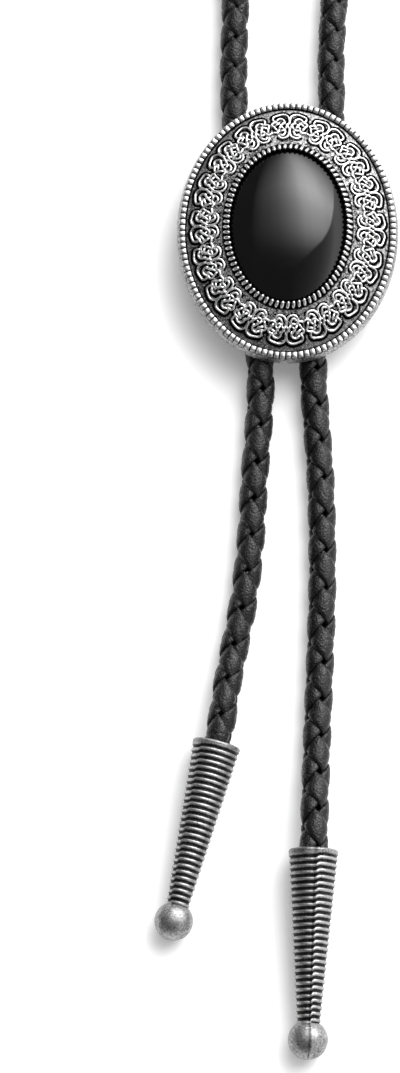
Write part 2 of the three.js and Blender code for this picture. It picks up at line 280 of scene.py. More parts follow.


# Leather whose wrinkles follow each lace through its own map, with grain and pebbles set in the object's
# millimetres.
def laceLeather():
    look = leatherLook
    material, tree, shader = newMaterial("cord_leather")
    lace = addNode(tree, "ShaderNodeUVMap", {"uv_map": "lace"}).outputs[0]
    place = inMillimetres(tree)
    stretched = addNode(tree, "ShaderNodeMapping", Vector=lace,
                        Scale=(1.0, look["wrinkleStretch"], 1.0)).outputs[0]
    wrinkle = noiseAt(tree, stretched, look["wrinkleScale"], 3.0, 0.6)
    grain = noiseAt(tree, place, look["grainScale"], 2.0)
    pebble = addNode(tree, "ShaderNodeTexVoronoi", {"feature": "SMOOTH_F1"}, Vector=place,
                     Scale=look["pebbleScale"]).outputs[0]
    cloud = noiseAt(tree, place, look["cloudScale"])
    patches = noiseAt(tree, place, look["patchScale"], 3.0, 0.65)
    tree.links.new(ramp(tree, cloud, look["colour"]), shader.inputs["Base Color"])
    tree.links.new(ramp(tree, patches, look["roughness"]), shader.inputs["Roughness"])
    shader.inputs["Specular IOR Level"].default_value = look["specular"]
    fine = roughen(tree, grain, look["grainStrength"], look["grainDepth"])
    hide = addNode(tree, "ShaderNodeBump", {"invert": True}, Height=pebble, Strength=look["pebbleStrength"],
                   Distance=look["pebbleDepth"] * mm, Normal=fine).outputs[0]
    deep = roughen(tree, wrinkle, look["wrinkleStrength"], look["wrinkleDepth"], Normal=hide)
    tree.links.new(deep, shader.inputs["Normal"])
    return material


# Plated steel with brush marks along +X.
def clipNickel():
    look = nickelLook
    material, tree, shader = newMaterial("clip_metal")
    drawn = addNode(tree, "ShaderNodeMapping", Vector=inMillimetres(tree),
                    Scale=look["brushStretch"]).outputs[0]
    brush = noiseAt(tree, drawn, look["brushScale"])
    tree.links.new(ramp(tree, brush, look["colour"]), shader.inputs["Base Color"])
    tree.links.new(ramp(tree, brush, look["roughness"]), shader.inputs["Roughness"])
    shader.inputs["Metallic"].default_value = 1.0
    tree.links.new(roughen(tree, brush, look["brushStrength"], look["brushDepth"]), shader.inputs["Normal"])
    return material


stoneBlack = blackStone()
laceBlack = laceLeather()
nickel = clipNickel()
print("materials made")


# Centrelines of the cord in millimetres, as the solids have them. A leg's third number is its share of the
# rise to the clip.
neckRoute = {
    "width": 179, "reach": 286, "legReach": 48, "shift": -1.5, "lying": 2.5, "inClip": 3.7,
    "leftLeg": [
        (-7.6, 0.15, 1), (-8.6, 9, 1), (-9.75, 18, 0.6), (-10.6, 26.5, 0.2), (-10.85, 36, 0), (-10.8, 48, 0),
    ],
    "rightLeg": [
        (6.65, 0.15, 1), (7.15, 9, 1), (7.6, 18, 0.6), (8.05, 26.5, 0.2), (7.85, 36, 0), (8.3, 48, 0),
    ],
    "half": [  # shares of half the width and of the stretch beyond the legs
        (0.124, 0.076), (0.195, 0.164), (0.408, 0.263), (0.693, 0.37), (0.916, 0.496),
        (1, 0.639), (0.927, 0.786), (0.693, 0.905), (0.363, 0.977),
    ],
}
tailRoutes = {
    "left": [
        (-7.6, -0.15, 3.7), (-6.6, -9, 3.7), (-5.55, -18, 3.22), (-4.6, -27, 2.74), (-4.75, -36, 2.5),
        (-5.4, -47, 2.5), (-5.9, -59, 2.5), (-6.9, -70, 2.5), (-8.4, -79, 2.804), (-9.9, -88, 3.816),
        (-10.7, -94.3, 4.525), (-11.5, -98.6, 4.525), (-12.542, -103.335, 4.394), (-13.584, -108.07, 4.263),
    ],
    "right": [
        (6.65, -0.15, 3.7), (6.1, -9, 3.7), (5.5, -18, 3.22), (5.4, -27, 2.74), (6.1, -36, 2.5),
        (7, -46, 2.5), (7.5, -57, 2.5), (7.7, -68, 2.5), (7.55, -79, 2.5), (7.3, -90, 2.5),
        (7.1, -99, 2.824), (6.95, -107.5, 3.904), (6.86, -113.8, 4.661), (6.8, -118.3, 4.661),
        (6.732, -123.148, 4.53), (6.664, -127.996, 4.398),
    ],
}
braid = {
    "diameter": 5.0, "middle": 1.91, "wave": 0.38, "laceHalfWidth": 2.08, "laceHalfThickness": 0.44,
    "sectionPoints": 14, "across": 0.8, "proud": 0.6, "leaning": 1.15, "outside": 0.3, "floor": 0.03,
    "lineStep": 0.5, "uneven": [(0.06, 0.21, 1.7), (0.04, 0.53, 1.0)], "mapOffset": 13.7,
}
# Length of a repeat, and the turn of the braid in degrees at each end.
cordSettings = {
    "neck": {"repeat": 5.95, "facing": (-8, 28), "step": 0.58, "start": -0.9},
    "left": {"repeat": 7.1, "facing": (24, -16), "step": 0.3, "start": 1.8},
    "right": {"repeat": 7.1, "facing": (20, 20), "step": 0.3, "start": -0.9},
}


def neckPoints():
    route = neckRoute

    def leg(rows):
        rise = route["inClip"] - route["lying"]
        return [(x, y, route["lying"] + lift * rise) for x, y, lift in rows]

    def loop(side):
        near, far, half = route["legReach"], route["reach"], route["width"] / 2
        return [
            (route["shift"] + side * across * half, near + along * (far - near), route["lying"])
            for across, along in route["half"]
        ]

    top = [(route["shift"], route["reach"], route["lying"])]
    return leg(route["leftLeg"]) + loop(-1) + top + loop(1)[::-1] + leg(route["rightLeg"])[::-1]


# Centripetal curve through the points, in even steps of arc length.
def smoothLine(points, step):
    p = np.array(points, dtype=float)
    p = np.concatenate([[2 * p[0] - p[1]], p, [2 * p[-1] - p[-2]]])
    fine = []
    samples = 40
    share = np.linspace(0, 1, samples, endpoint=False)[:, None]
    for a, b, c, d in zip(p, p[1:], p[2:], p[3:]):
        t0, t1, t2 = (max(np.linalg.norm(v), 1e-6) ** 0.5 for v in (b - a, c - b, d - c))
        into = ((b - a) / t0 - (c - a) / (t0 + t1) + (c - b) / t1) * t1
        out = ((c - b) / t1 - (d - b) / (t1 + t2) + (d - c) / t2) * t1
        fine.append(b + into * share + (3 * (c - b) - 2 * into - out) * share ** 2
                    + (2 * (b - c) + into + out) * share ** 3)
    fine = np.concatenate(fine + [p[-2:-1]])
    run = np.concatenate([[0], np.cumsum(np.linalg.norm(np.diff(fine, axis=0), axis=1))])
    even = np.linspace(0, run[-1], max(2, round(run[-1] / step)) + 1)
    return np.stack([np.interp(even, run, fine[:, k]) for k in range(3)], 1), even


def unit(rows):
    return rows / np.linalg.norm(rows, axis=1, keepdims=True)


# Four flat laces, two each way round, that pass over and under each other by turns.
def braidedCord(name, points, settings):
    line, run = smoothLine(points, braid["lineStep"])
    ahead = unit(np.gradient(line, axis=0))
    side = unit(np.cross([0, 0, 1], ahead))
    up = np.cross(ahead, side)
    rate = math.pi / settings["repeat"]
    middle, half, thick = braid["middle"], braid["laceHalfWidth"], braid["laceHalfThickness"]
    steep = math.atan(rate * middle * braid["leaning"])
    stations = np.arange(0, run[-1] + settings["step"], settings["step"])
    stations[-1] = run[-1]
    facing = np.radians(np.interp(stations, [0, run[-1]], settings["facing"]))
    turn = np.linspace(0, 2 * math.pi, braid["sectionPoints"], endpoint=False)
    across = half * np.sign(np.cos(turn)) * np.abs(np.cos(turn)) ** braid["across"]
    proud = thick * np.sign(np.sin(turn)) * np.abs(np.sin(turn)) ** braid["proud"]
    skins, faces, maps, total = [], [], [], 0
    for strand in range(4):
        way = 1 if strand < 2 else -1
        begin = (strand % 2) * math.pi
        uneven = sum(size * np.sin(stations * pace + strand * apart)
                     for size, pace, apart in braid["uneven"])
        angle = way * rate * (stations + settings["start"]) + begin + facing + uneven
        wave = way * np.cos(2 * (angle - facing))
        wave = wave * (1.5 - 0.5 * wave ** 2)  # stays longer over and under than a plain wave
        radius = middle + braid["wave"] * wave
        along = stations[:, None] - way * math.sin(steep) * across[None, :]
        along = np.clip(along, 0, run[-1])
        theta = angle[:, None] + across[None, :] * math.cos(steep) / (middle + braid["outside"])
        reach = radius[:, None] + proud[None, :]
        middles, ups, sides = (np.stack([np.interp(along, run, rows[:, k]) for k in range(3)], -1)
                               for rows in (line, up, side))
        spoke = np.cos(theta)[..., None] * ups + np.sin(theta)[..., None] * sides
        place = middles + reach[..., None] * spoke
        place[..., 2] = np.maximum(place[..., 2], braid["floor"])  # pressed flat where it lies
        skin, strandFaces = solidRows(list(place))
        skins.append(skin)
        faces += [[v + total for v in face] for face in strandFaces]
        own = np.stack([np.tile(turn, len(stations)), np.repeat(stations, len(turn))], 1)
        maps.append(own + strand * braid["mapOffset"])
        total += len(skin)
    mesh = meshFrom(name, np.concatenate(skins) * mm, faces)
    lace = np.concatenate(maps)
    layer = mesh.uv_layers.new(name="lace")
    corner = np.empty(len(mesh.loops), dtype=np.int32)
    mesh.loops.foreach_get("vertex_index", corner)
    layer.data.foreach_set("uv", lace[corner].astype(np.float32).ravel())
    mesh.materials.append(laceBlack)
    return addObject(name, mesh), line * mm, run[-1] * mm


neckCord, _, neckLength = braidedCord("neck_braid", neckPoints(), cordSettings["neck"])
finishPiece(neckCord, "cord_leather", "neck_cord")
tails = {}
for side in ("left", "right"):
    tail, line, length = braidedCord(f"tail_braid_{side}", tailRoutes[side], cordSettings[side])
    finishPiece(tail, "cord_leather", f"tail_{side}")
    tails[side] = {"piece": tail, "line": line, "length": length}
    print(side, "tail", round(length, 4), "m")
print("cords braided, neck loop", round(neckLength, 4), "m")


tip = {
    "mouth": 9.05, "neck": 4.3, "ball": 7.2, "length": 34.2, "rim": 1.1, "rimRound": 0.45,
    "rings": 26, "ringDepth": 0.24, "bore": 5.7, "boreDepth": 10.0, "sides": 96, "rowsPerRing": 9,
    "cutFrom": -0.45, "cutTo": 0.55, "seamSteepness": 12.0, "seamHeight": 0.12, "seamSharpness": 260.0,
    # Painted shade: a thin dark line along one side of the seam's flash.
    "seamShadeBeside": 0.1, "seamShadeSharpness": 500.0, "seamShadeDepth": -0.3,
    "plainPolish": 0.83, "conePolish": 0.17, "cutShade": 0.88,
}
tipPlaces = {
    "left": {"mouth": (-11.5, -98.6), "heading": (-0.215, -0.977), "growth": 1.0, "seam": -38, "shift": 0.3},
    "right": {"mouth": (6.8, -118.3), "heading": (-0.014, -1.0), "growth": 1.03, "seam": 10, "shift": 0.42},
}


# Cuts rings round the cone of a tip. The halves of the mould don't quite meet, so they shift at the seam.
def ringTree():
    tree, source, sink = newTree("tip rings", {
        "Pitch": mm, "Depth": tip["ringDepth"] * mm, "Start": tip["rim"] * mm,
        "Seam": 0.0, "Shift": 0.0, "Seam Height": tip["seamHeight"] * mm,
    })

    def read(label, kind="FLOAT"):
        return addNode(tree, "GeometryNodeInputNamedAttribute", {"data_type": kind}, Name=label).outputs[0]

    along, around, cone = read("along"), read("around"), read("cone")
    apart = calc(tree, "SUBTRACT", around, source.outputs["Seam"])
    wave = calc(tree, "SINE", apart)
    steep = calc(tree, "MULTIPLY", wave, tip["seamSteepness"])
    half = calc(tree, "MULTIPLY_ADD", calc(tree, "TANH", steep), 0.5, 0.5)
    ahead = calc(tree, "SUBTRACT", along, source.outputs["Start"])
    begin = calc(tree, "DIVIDE", ahead, source.outputs["Pitch"])
    phase = calc(tree, "MULTIPLY_ADD", half, source.outputs["Shift"], begin)
    swing = calc(tree, "COSINE", calc(tree, "MULTIPLY", phase, 2 * math.pi))
    rise = addNode(tree, "ShaderNodeMapRange", {"interpolation_type": "SMOOTHSTEP"}, Value=swing,
                   From_Min=tip["cutFrom"], From_Max=tip["cutTo"], To_Min=-1.0, To_Max=0.0).outputs[0]
    cut = calc(tree, "MULTIPLY", rise, calc(tree, "MULTIPLY", cone, source.outputs["Depth"]))
    nearSeam = calc(tree, "ABSOLUTE", calc(tree, "COSINE", apart))
    ridge = calc(tree, "POWER", nearSeam, tip["seamSharpness"])
    flash = calc(tree, "MULTIPLY", ridge, source.outputs["Seam Height"])
    shift = addNode(tree, "ShaderNodeVectorMath", {"operation": "SCALE"}, i0=read("outward", "FLOAT_VECTOR"),
                    Scale=calc(tree, "ADD", cut, flash)).outputs[0]
    moved = addNode(tree, "GeometryNodeSetPosition", Geometry=source.outputs[0], Offset=shift).outputs[0]
    # Painted shade on one side of the seam's flash, taken off the polish.
    beside = calc(tree, "COSINE", calc(tree, "ADD", apart, tip["seamShadeBeside"]))
    seamShade = calc(tree, "POWER", calc(tree, "MAXIMUM", beside, 0.0), tip["seamShadeSharpness"])
    plain = calc(tree, "MULTIPLY_ADD", cone, tip["conePolish"], tip["plainPolish"])
    bright = calc(tree, "MULTIPLY_ADD", calc(tree, "MULTIPLY", rise, cone), tip["cutShade"], plain)
    bright = calc(tree, "MULTIPLY_ADD", calc(tree, "MULTIPLY", seamShade, plain), tip["seamShadeDepth"], bright)
    kept = addNode(tree, "GeometryNodeStoreNamedAttribute", {"data_type": "FLOAT", "domain": "POINT"},
                   Geometry=moved, Name="polish", Value=bright).outputs[0]
    closeTree(tree, kept, tipSilver, sink)
    return tree


# Rows of (radius, distance from the mouth, share of ring cut), from the bore round to the end of the ball.
def tipProfile():
    mouth, neck, ball, length = tip["mouth"] / 2, tip["neck"] / 2, tip["ball"] / 2, tip["length"]
    bore, rimRound = tip["bore"] / 2, tip["rimRound"]
    end = length - math.sqrt(ball ** 2 - neck ** 2)
    rows = [(bore, tip["boreDepth"], 0), (bore, 5, 0), (bore, 0.3, 0), (bore + 0.25, 0.04, 0)]
    rows.append((mouth - rimRound - 0.1, 0, 0))
    for turn in np.radians([18, 40, 65, 90]):
        rows.append((mouth - rimRound * (1 - math.sin(turn)), rimRound * (1 - math.cos(turn)), 0))
    count = tip["rings"] * tip["rowsPerRing"]
    for s in np.linspace(rimRound + 0.1, end - 0.02, count):
        cutShare = float(np.clip((s - tip["rim"] + 0.25) / 0.3, 0, 1))
        rows.append((mouth + (neck - mouth) * s / end, s, cutShare))
    for turn in np.linspace(math.asin(neck / ball), math.pi - 0.04, 40)[1:]:
        rows.append((ball * math.sin(turn), length - ball * math.cos(turn), 0))
    return rows, end


# A tip that lies on the edge of its mouth and on its ball.
def makeTip(side, tree):
    spot = tipPlaces[side]
    grow = spot["growth"]
    mouthRadius, ballRadius = grow * tip["mouth"] / 2, grow * tip["ball"] / 2
    fall = math.asin((mouthRadius - ballRadius) / (grow * tip["length"]))
    axis = Vector((*spot["heading"], 0)).normalized() * math.cos(fall)
    axis.z = -math.sin(fall)
    across = Vector((0, 0, 1)).cross(axis).normalized()
    up = axis.cross(across)
    rows, end = tipProfile()
    turn = np.linspace(0, 2 * math.pi, tip["sides"], endpoint=False)
    outward = np.cos(turn)[:, None] * np.array(up) + np.sin(turn)[:, None] * np.array(across)
    origin = np.array((*spot["mouth"], mouthRadius))
    places = [origin + grow * (r * outward + s * np.array(axis)) for r, s, _ in rows]
    skin, faces = solidRows(places, inverted=True)
    count = len(turn)
    mesh = meshFrom(f"ringed_tip_{side}", skin * mm, faces)
    setAttribute(mesh, "along", np.repeat([s * mm for _, s, _ in rows], count))
    setAttribute(mesh, "around", np.tile(turn, len(rows)))
    setAttribute(mesh, "cone", np.repeat([c for _, _, c in rows], count))
    layer = mesh.attributes.new("outward", "FLOAT_VECTOR", "POINT")
    layer.data.foreach_set("vector", np.tile(outward, (len(rows), 1)).astype(np.float32).ravel())
    obj = addObject(f"ringed_tip_{side}", mesh)
    pitch = (end - tip["rim"]) / tip["rings"] * mm
    return runTree(obj, tree, {"Pitch": pitch, "Seam": math.radians(spot["seam"]), "Shift": spot["shift"]})


rings = ringTree()
for side in ("left", "right"):
    piece = makeTip(side, rings)
    finishPiece(piece, "tip_silver", f"tip_{side}")
    line = tails[side]["line"]
print("tips turned")


slide = {
    "width": 42.1, "length": 51.2, "foot": 5.7, "ceiling": 7.2, "ribFoot": 7.8, "ribTop": 8.55,
    "wallFlare": 0.45, "groove": 8.2, "grooveInset": 1.85, "fieldTop": 10.55, "fieldBulge": 0.36,
    "bezelTop": 11.9, "recess": (11.2, 15.15), "bezelFoot": (12.45, 16.4), "seat": 8.9,
    "segments": 360, "fieldRows": 44, "innerPolish": 0.41, "outerPolish": 0.52,
    "halvings": 24, "fineSteps": 4001,
}
# Corners of a rib as (outwards, up), each with the point at its root, and the polish across its width.
ribs = {
    "count": 122, "width": 0.98, "softness": 0.09, "seed": 3,
    "outline": [(-1.12, -0.3), (-1.12, -0.08), (-1.04, 0.0), (-0.6, 0.0), (-0.16, -0.02), (-0.04, -0.1),
                (0.02, -0.3), (0.0, -0.85)],
    "roots": [(-1.0, -0.6), (-0.95, -0.55), (-0.9, -0.5), (-0.6, -0.5), (-0.4, -0.5), (-0.35, -0.55),
              (-0.35, -0.6), (-0.35, -0.85)],
    "polish": [0.0, 0.45, 0.78, 0.66, 0.78, 0.45, 0.0],
}
beads = {
    "count": 81, "oval": (11.62, 15.57), "height": 11.22, "slant": -12.0, "fall": 35.0,
    "halfSize": (0.78, 0.33, 0.42), "seed": 5, "sides": 12, "rows": [-50, -15, 12, 38, 62, 82],
    "flatness": 0.55, "squareness": 0.6, "lowPolish": 0.3, "topPolish": 1.1,
}
stipple = {
    "spacing": 0.38, "density": 9e6, "radius": 0.15, "rise": 0.12, "taper": 0.35, "sides": 5,
    "least": 0.6, "most": 1.25, "seed": 11, "polish": 0.75, "shares": (0.97, 0.03), "rows": 14,
}
# A strand's half section as (across, up), from the crest to the dark apron beside it. The apron's darkness is
# patina and painted shade.
knots = {
    "count": 16, "share": 0.5, "overUnder": 0.14, "dip": 0.26, "dipLength": 0.3, "step": 0.13, "crest": 0.25,
    "halfSection": [(0.08, 0.42), (0.145, 0.39), (0.19, 0.28), (0.23, 0.08), (0.6, 0.08), (0.68, -0.1)],
}


# Angles from +X round an oval and the length run at each.
def ovalRun(across, along):
    angles = np.linspace(0, 2 * math.pi, slide["fineSteps"])
    steps = np.hypot(np.diff(across * np.cos(angles)), np.diff(along * np.sin(angles)))
    return angles, np.concatenate([[0], np.cumsum(steps)])


# Points spaced evenly round an oval.
def ovalRow(across, along, height):
    fine, run = ovalRun(across, along)
    angles = np.interp(np.linspace(0, run[-1], slide["segments"], endpoint=False), run, fine)
    return np.stack([across * np.cos(angles), along * np.sin(angles), np.full(len(angles), height)], 1)


def rimRow(inset, height):
    return ovalRow(slide["width"] / 2 - inset, slide["length"] / 2 - inset, height)


# The domed field's oval and height, from 0 at the bezel's foot to 1 at the groove.
def fieldOval(share):
    low, inset = slide["bezelFoot"], slide["grooveInset"]
    across = low[0] + (slide["width"] / 2 - inset - low[0]) * share
    along = low[1] + (slide["length"] / 2 - inset - low[1]) * share
    height = slide["fieldTop"] + (slide["groove"] - slide["fieldTop"]) * share
    return across, along, height + 4 * slide["fieldBulge"] * share * (1 - share)


# The field's height above points in plan.
def fieldHeight(x, y):
    low, high = np.zeros_like(x), np.ones_like(x)
    for _ in range(slide["halvings"]):
        middle = (low + high) / 2
        across, along, _ = fieldOval(middle)
        outside = (x / across) ** 2 + (y / along) ** 2 > 1
        low, high = np.where(outside, middle, low), np.where(outside, high, middle)
    return fieldOval(low)[2]


# One skin from the ceiling inside, out under the rim, and over the top to the stone's seat. A row of the
# wall is (inset, height, polish), and one of the bezel is (outset, height, polish).
def castingBody():
    foot, flare, ribTop, groove = slide["foot"], slide["wallFlare"], slide["ribTop"], slide["groove"]
    wall = [
        (2.1, slide["ceiling"], 0.5), (1.5, foot + 0.6, 0.5), (0.95, foot + 0.03, 0.5), (0.75, foot, 0.6),
        (0.14, foot, 0.7), (0.03, foot + 0.08, 0.75), (0.0, foot + 0.25, 0.6), (0.12, foot + 0.9, 0.55),
        (0.26, foot + 1.5, 0.55), (flare - 0.08, foot + 1.85, 0.5), (flare + 0.02, foot + 2.02, 0.3),
        (flare + 0.14, slide["ribFoot"] + 0.02, 0.1), (flare + 0.5, ribTop - 0.34, 0.0),
        (flare + 1.0, ribTop - 0.3, 0.0), (flare + 1.12, groove - 0.2, 0.0),
        (flare + 1.28, groove - 0.22, 0.0),
    ]
    recess, top = slide["recess"], slide["bezelTop"]
    bezel = [
        (1.22, 10.62, 0.1), (1.05, 10.72, 0.0), (0.8, 10.96, 0.0), (0.45, 11.22, 0.0), (0.2, 11.4, 0.0),
        (0.08, top - 0.38, 0.3), (0.02, top - 0.42, 0.3), (0.0, top - 0.6, 0.05), (0.0, slide["seat"], 0.0),
    ]
    rows = [(rimRow(inset, height), shine) for inset, height, shine in wall]
    for share in np.linspace(1, 0, slide["fieldRows"]):
        shine = slide["innerPolish"] + (slide["outerPolish"] - slide["innerPolish"]) * share
        rows.append((ovalRow(*fieldOval(share)), shine))
    for outset, height, shine in bezel:
        rows.append((ovalRow(recess[0] + outset, recess[1] + outset, height), shine))
    skin, faces = solidRows([row for row, _ in rows])
    mesh = meshFrom("slide_casting", skin * mm, faces)
    setAttribute(mesh, "polish", np.repeat([shine for _, shine in rows], slide["segments"]))
    mesh.materials.append(castSilver)
    return addObject("slide_casting", mesh)


# Copies of one shape, evenly round an oval, each turned to face outwards.
def ovalTree(name, template):
    tree, source, sink = newTree(name, {
        "Half Width": 0.02, "Half Length": 0.025, "Height": 0.0, "Count": 80, "Turn": 0.0, "Seed": 0,
        "Unevenness": 0.03,
    })
    circle = addNode(tree, "GeometryNodeCurvePrimitiveCircle", Resolution=720, Radius=1.0)
    size = addNode(tree, "ShaderNodeCombineXYZ", X=source.outputs["Half Width"],
                   Y=source.outputs["Half Length"], Z=1.0)
    place = addNode(tree, "ShaderNodeCombineXYZ", Z=source.outputs["Height"])
    oval = addNode(tree, "GeometryNodeTransform", Geometry=circle.outputs[0], Scale=size.outputs[0],
                   Translation=place.outputs[0])
    even = addNode(tree, "GeometryNodeResampleCurve", Curve=oval.outputs[0], Count=source.outputs["Count"])
    tangent = addNode(tree, "GeometryNodeInputTangent").outputs[0]
    facing = addNode(tree, "FunctionNodeAlignRotationToVector", {"axis": "Y", "pivot_axis": "Z"},
                     Vector=tangent)
    slant = addNode(tree, "ShaderNodeCombineXYZ", Z=source.outputs["Turn"])
    turned = addNode(tree, "FunctionNodeRotateRotation", {"rotation_space": "LOCAL"},
                     Rotation=facing.outputs[0], Rotate_By=slant.outputs[0])
    least = calc(tree, "SUBTRACT", 1.0, source.outputs["Unevenness"])
    most = calc(tree, "ADD", 1.0, source.outputs["Unevenness"])
    grow = addNode(tree, "FunctionNodeRandomValue", {"data_type": "FLOAT"}, i2=least, i3=most,
                   Seed=source.outputs["Seed"])
    shape = addNode(tree, "GeometryNodeObjectInfo", Object=template).outputs["Geometry"]
    copies = addNode(tree, "GeometryNodeInstanceOnPoints", Points=even.outputs[0], Instance=shape,
                     Rotation=turned.outputs[0], Scale=grow.outputs[1])
    closeTree(tree, copies.outputs[0], castSilver, sink)
    return tree


def makeRing(name, template, oval, inputs):
    obj = addObject(name, meshFrom(name, [(0, 0, 0)], []))
    tree = ovalTree(name.replace("_", " "), template)
    runTree(obj, tree, {"Half Width": oval[0] * mm, "Half Length": oval[1] * mm, **inputs})
    bpy.data.objects.remove(template)
    return obj


# One rib: a square block with soft edges over the shoulder of the casting. +X is outwards.
def ribShape():
    half, soft = ribs["width"] / 2, ribs["softness"]
    rows = []
    for (r, z), (rootR, rootZ) in zip(ribs["outline"], ribs["roots"]):
        inward = unit(np.array([[rootR - r, rootZ - z]]))[0] * soft
        rows.append(np.array([
            (rootR, -half, rootZ), (r + inward[0], -half, z + inward[1]), (r, soft - half, z), (r, 0.0, z),
            (r, half - soft, z), (r + inward[0], half, z + inward[1]), (rootR, half, rootZ),
        ]))
    skin, faces = solidRows(rows, inverted=True)
    mesh = meshFrom("rib", skin * mm, faces)
    setAttribute(mesh, "polish", np.tile(ribs["polish"], len(rows)))
    return addObject("rib", mesh)


# One bead of the bezel: an oblong pearl. +X is outwards.
def beadShape():
    long, wide, high = beads["halfSize"]
    sides = beads["sides"]
    turn = np.linspace(0, 2 * math.pi, sides, endpoint=False)
    square = np.sign(np.cos(turn)) * np.abs(np.cos(turn)) ** beads["squareness"]
    rows = []
    shine = []
    for lift in np.radians(beads["rows"]):
        flat = math.cos(lift) ** beads["flatness"]
        level = np.full(sides, high * math.sin(lift))
        rows.append(np.stack([long * flat * square, wide * flat * np.sin(turn), level], 1))
        bright = np.clip(beads["lowPolish"] + beads["topPolish"] * math.sin(lift), 0.0, 1.0)
        shine += [float(bright)] * sides
    skin, faces = solidRows(rows)
    fall = math.radians(beads["fall"])
    lean = [[math.cos(fall), 0, -math.sin(fall)], [0, 1, 0], [math.sin(fall), 0, math.cos(fall)]]
    mesh = meshFrom("bead", skin @ np.array(lean) * mm, faces)
    setAttribute(mesh, "polish", shine)
    return addObject("bead", mesh)


# Scatters small raised points over the field.
def stippleTree():
    tree, source, sink = newTree("field stipple", {
        "Spacing": stipple["spacing"] * mm, "Radius": stipple["radius"] * mm, "Rise": stipple["rise"] * mm,
        "Seed": 0,
    })
    spread = addNode(tree, "GeometryNodeDistributePointsOnFaces", {"distribute_method": "POISSON"},
                     Mesh=source.outputs[0], Distance_Min=source.outputs["Spacing"],
                     Density_Max=stipple["density"], Seed=source.outputs["Seed"])
    small = calc(tree, "MULTIPLY", source.outputs["Radius"], stipple["taper"])
    point = addNode(tree, "GeometryNodeMeshCone", {"fill_type": "TRIANGLE_FAN"}, Vertices=stipple["sides"],
                    Side_Segments=1, Fill_Segments=1, Radius_Top=small,
                    Radius_Bottom=source.outputs["Radius"], Depth=source.outputs["Rise"])
    grow = addNode(tree, "FunctionNodeRandomValue", {"data_type": "FLOAT"}, i2=stipple["least"],
                   i3=stipple["most"], Seed=source.outputs["Seed"])
    dots = addNode(tree, "GeometryNodeInstanceOnPoints", Points=spread.outputs["Points"],
                   Instance=point.outputs["Mesh"], Rotation=spread.outputs["Rotation"],
                   Scale=grow.outputs[1])
    closeTree(tree, dots.outputs[0], castSilver, sink)
    return tree


def makeStipple():
    rows = [ovalRow(*fieldOval(share)) for share in np.linspace(*stipple["shares"], stipple["rows"])]
    skin, faces = skinRows(rows)
    obj = addObject("field_stipple", meshFrom("field_stipple", skin * mm, faces))
    runTree(obj, stippleTree(), {"Seed": stipple["seed"]})
    setAttribute(obj.data, "polish", np.full(len(obj.data.vertices), stipple["polish"]))
    return obj


# Knotwork: one half of a knot is charted as stretches of strand, each from dip to dip. Across is measured
# from the knot's middle in mm and out towards the ribs. A level above 0 lies over the others in one half and
# under them in its mirror image.
knotStrands = {
    "outer lobe": {"level": 0, "points": [
        (0.06, 0.4), (0.06, 1.25), (0.32, 2.1), (0.95, 2.52), (1.8, 2.42), (2.72, 2.05), (2.78, 1.35),
        (2.3, 0.85)]},
    "outer lobe inside": {"level": 0, "points": [
        (0.95, 0.35), (0.95, 1.05), (1.25, 1.48), (1.78, 1.6), (2.35, 1.2)]},
    "inner lobe": {"level": 0, "points": [
        (0.06, -0.4), (0.06, -1.4), (0.37, -2.2), (0.9, -2.5), (1.7, -2.6), (2.3, -2.3), (2.55, -1.85)]},
    "inner lobe inside": {"level": 0, "points": [(0.82, -1.2), (1.2, -1.8), (1.7, -1.98), (2.1, -1.7)]},
    "link": {"level": 0, "points": [(2.05, -0.7), (2.3, -1.12), (2.75, -1.32), (3.2, -1.2), (3.56, -1.12)]},
    "side": {"level": 0, "points": [(2.6, -0.85), (2.98, 0.0), (3.28, 0.5), (3.0, 0.85), (2.3, 0.98)]},
    "small arc": {"level": 0, "points": [(0.85, -0.72), (1.3, -0.98), (1.88, -0.9)]},
    "small bar": {"level": 0, "points": [(1.75, 0.72), (2.15, 0.52), (2.7, 0.2)]},
    "falling middle": {"level": 1, "points": [(0.08, -0.6), (0.45, 0.0), (0.85, 0.65)]},
    "rising middle": {"level": -1, "points": [(0.08, 0.6), (0.45, 0.0), (0.85, -0.65)]},
    "falling side": {"level": 1, "points": [(1.22, -0.55), (1.65, 0.1), (2.02, 0.75)]},
    "rising side": {"level": -1, "points": [(1.15, 0.62), (1.62, 0.05), (2.12, -0.55)]},
}


# An even line along a strand and how high it rises there, with its two ends dipped.
def strandLine(points, level):
    line, run = smoothLine([(across, out, 0) for across, out in points], knots["step"])
    fromEnd = np.minimum(run, run[-1] - run)
    dip = np.clip(1 - fromEnd / knots["dipLength"], 0, 1) ** 2
    return line[:, :2], knots["overUnder"] * level - knots["dip"] * dip


# Sweeps the section along every line.
def knotTree(section):
    tree, source, sink = newTree("knot strands", {"Growth": 1.0})
    lines = addNode(tree, "GeometryNodeMeshToCurve", Mesh=source.outputs[0])
    upright = addNode(tree, "GeometryNodeSetCurveNormal", {"mode": "Z_UP"}, Curve=lines.outputs[0])
    drawn = addNode(tree, "GeometryNodeObjectInfo", Object=section).outputs["Geometry"]
    profile = addNode(tree, "GeometryNodeMeshToCurve", Mesh=drawn)
    swept = addNode(tree, "GeometryNodeCurveToMesh", Curve=upright.outputs[0],
                    Profile_Curve=profile.outputs[0], Scale=source.outputs["Growth"], Fill_Caps=True)
    closeTree(tree, swept.outputs[0], castSilver, sink)
    return tree


# The closed outline that is swept along the strands. Its +Y sweeps downwards.
def strandSection():
    half = knots["halfSection"]
    outline = half + [(-x, up) for x, up in half[::-1]]
    corners = [(x * mm, -up * mm, 0) for x, up in outline]
    mesh = bpy.data.meshes.new("strand section")
    mesh.from_pydata(corners, [(k, (k + 1) % len(corners)) for k in range(len(corners))], [])
    # Only the crest is polished; the flanks and the apron stay dark, patina in the crevices and painted shade
    # round the strand.
    setAttribute(mesh, "polish", [float(y < -knots["crest"] * mm) for _, y, _ in corners])
    return addObject("strand section", mesh)


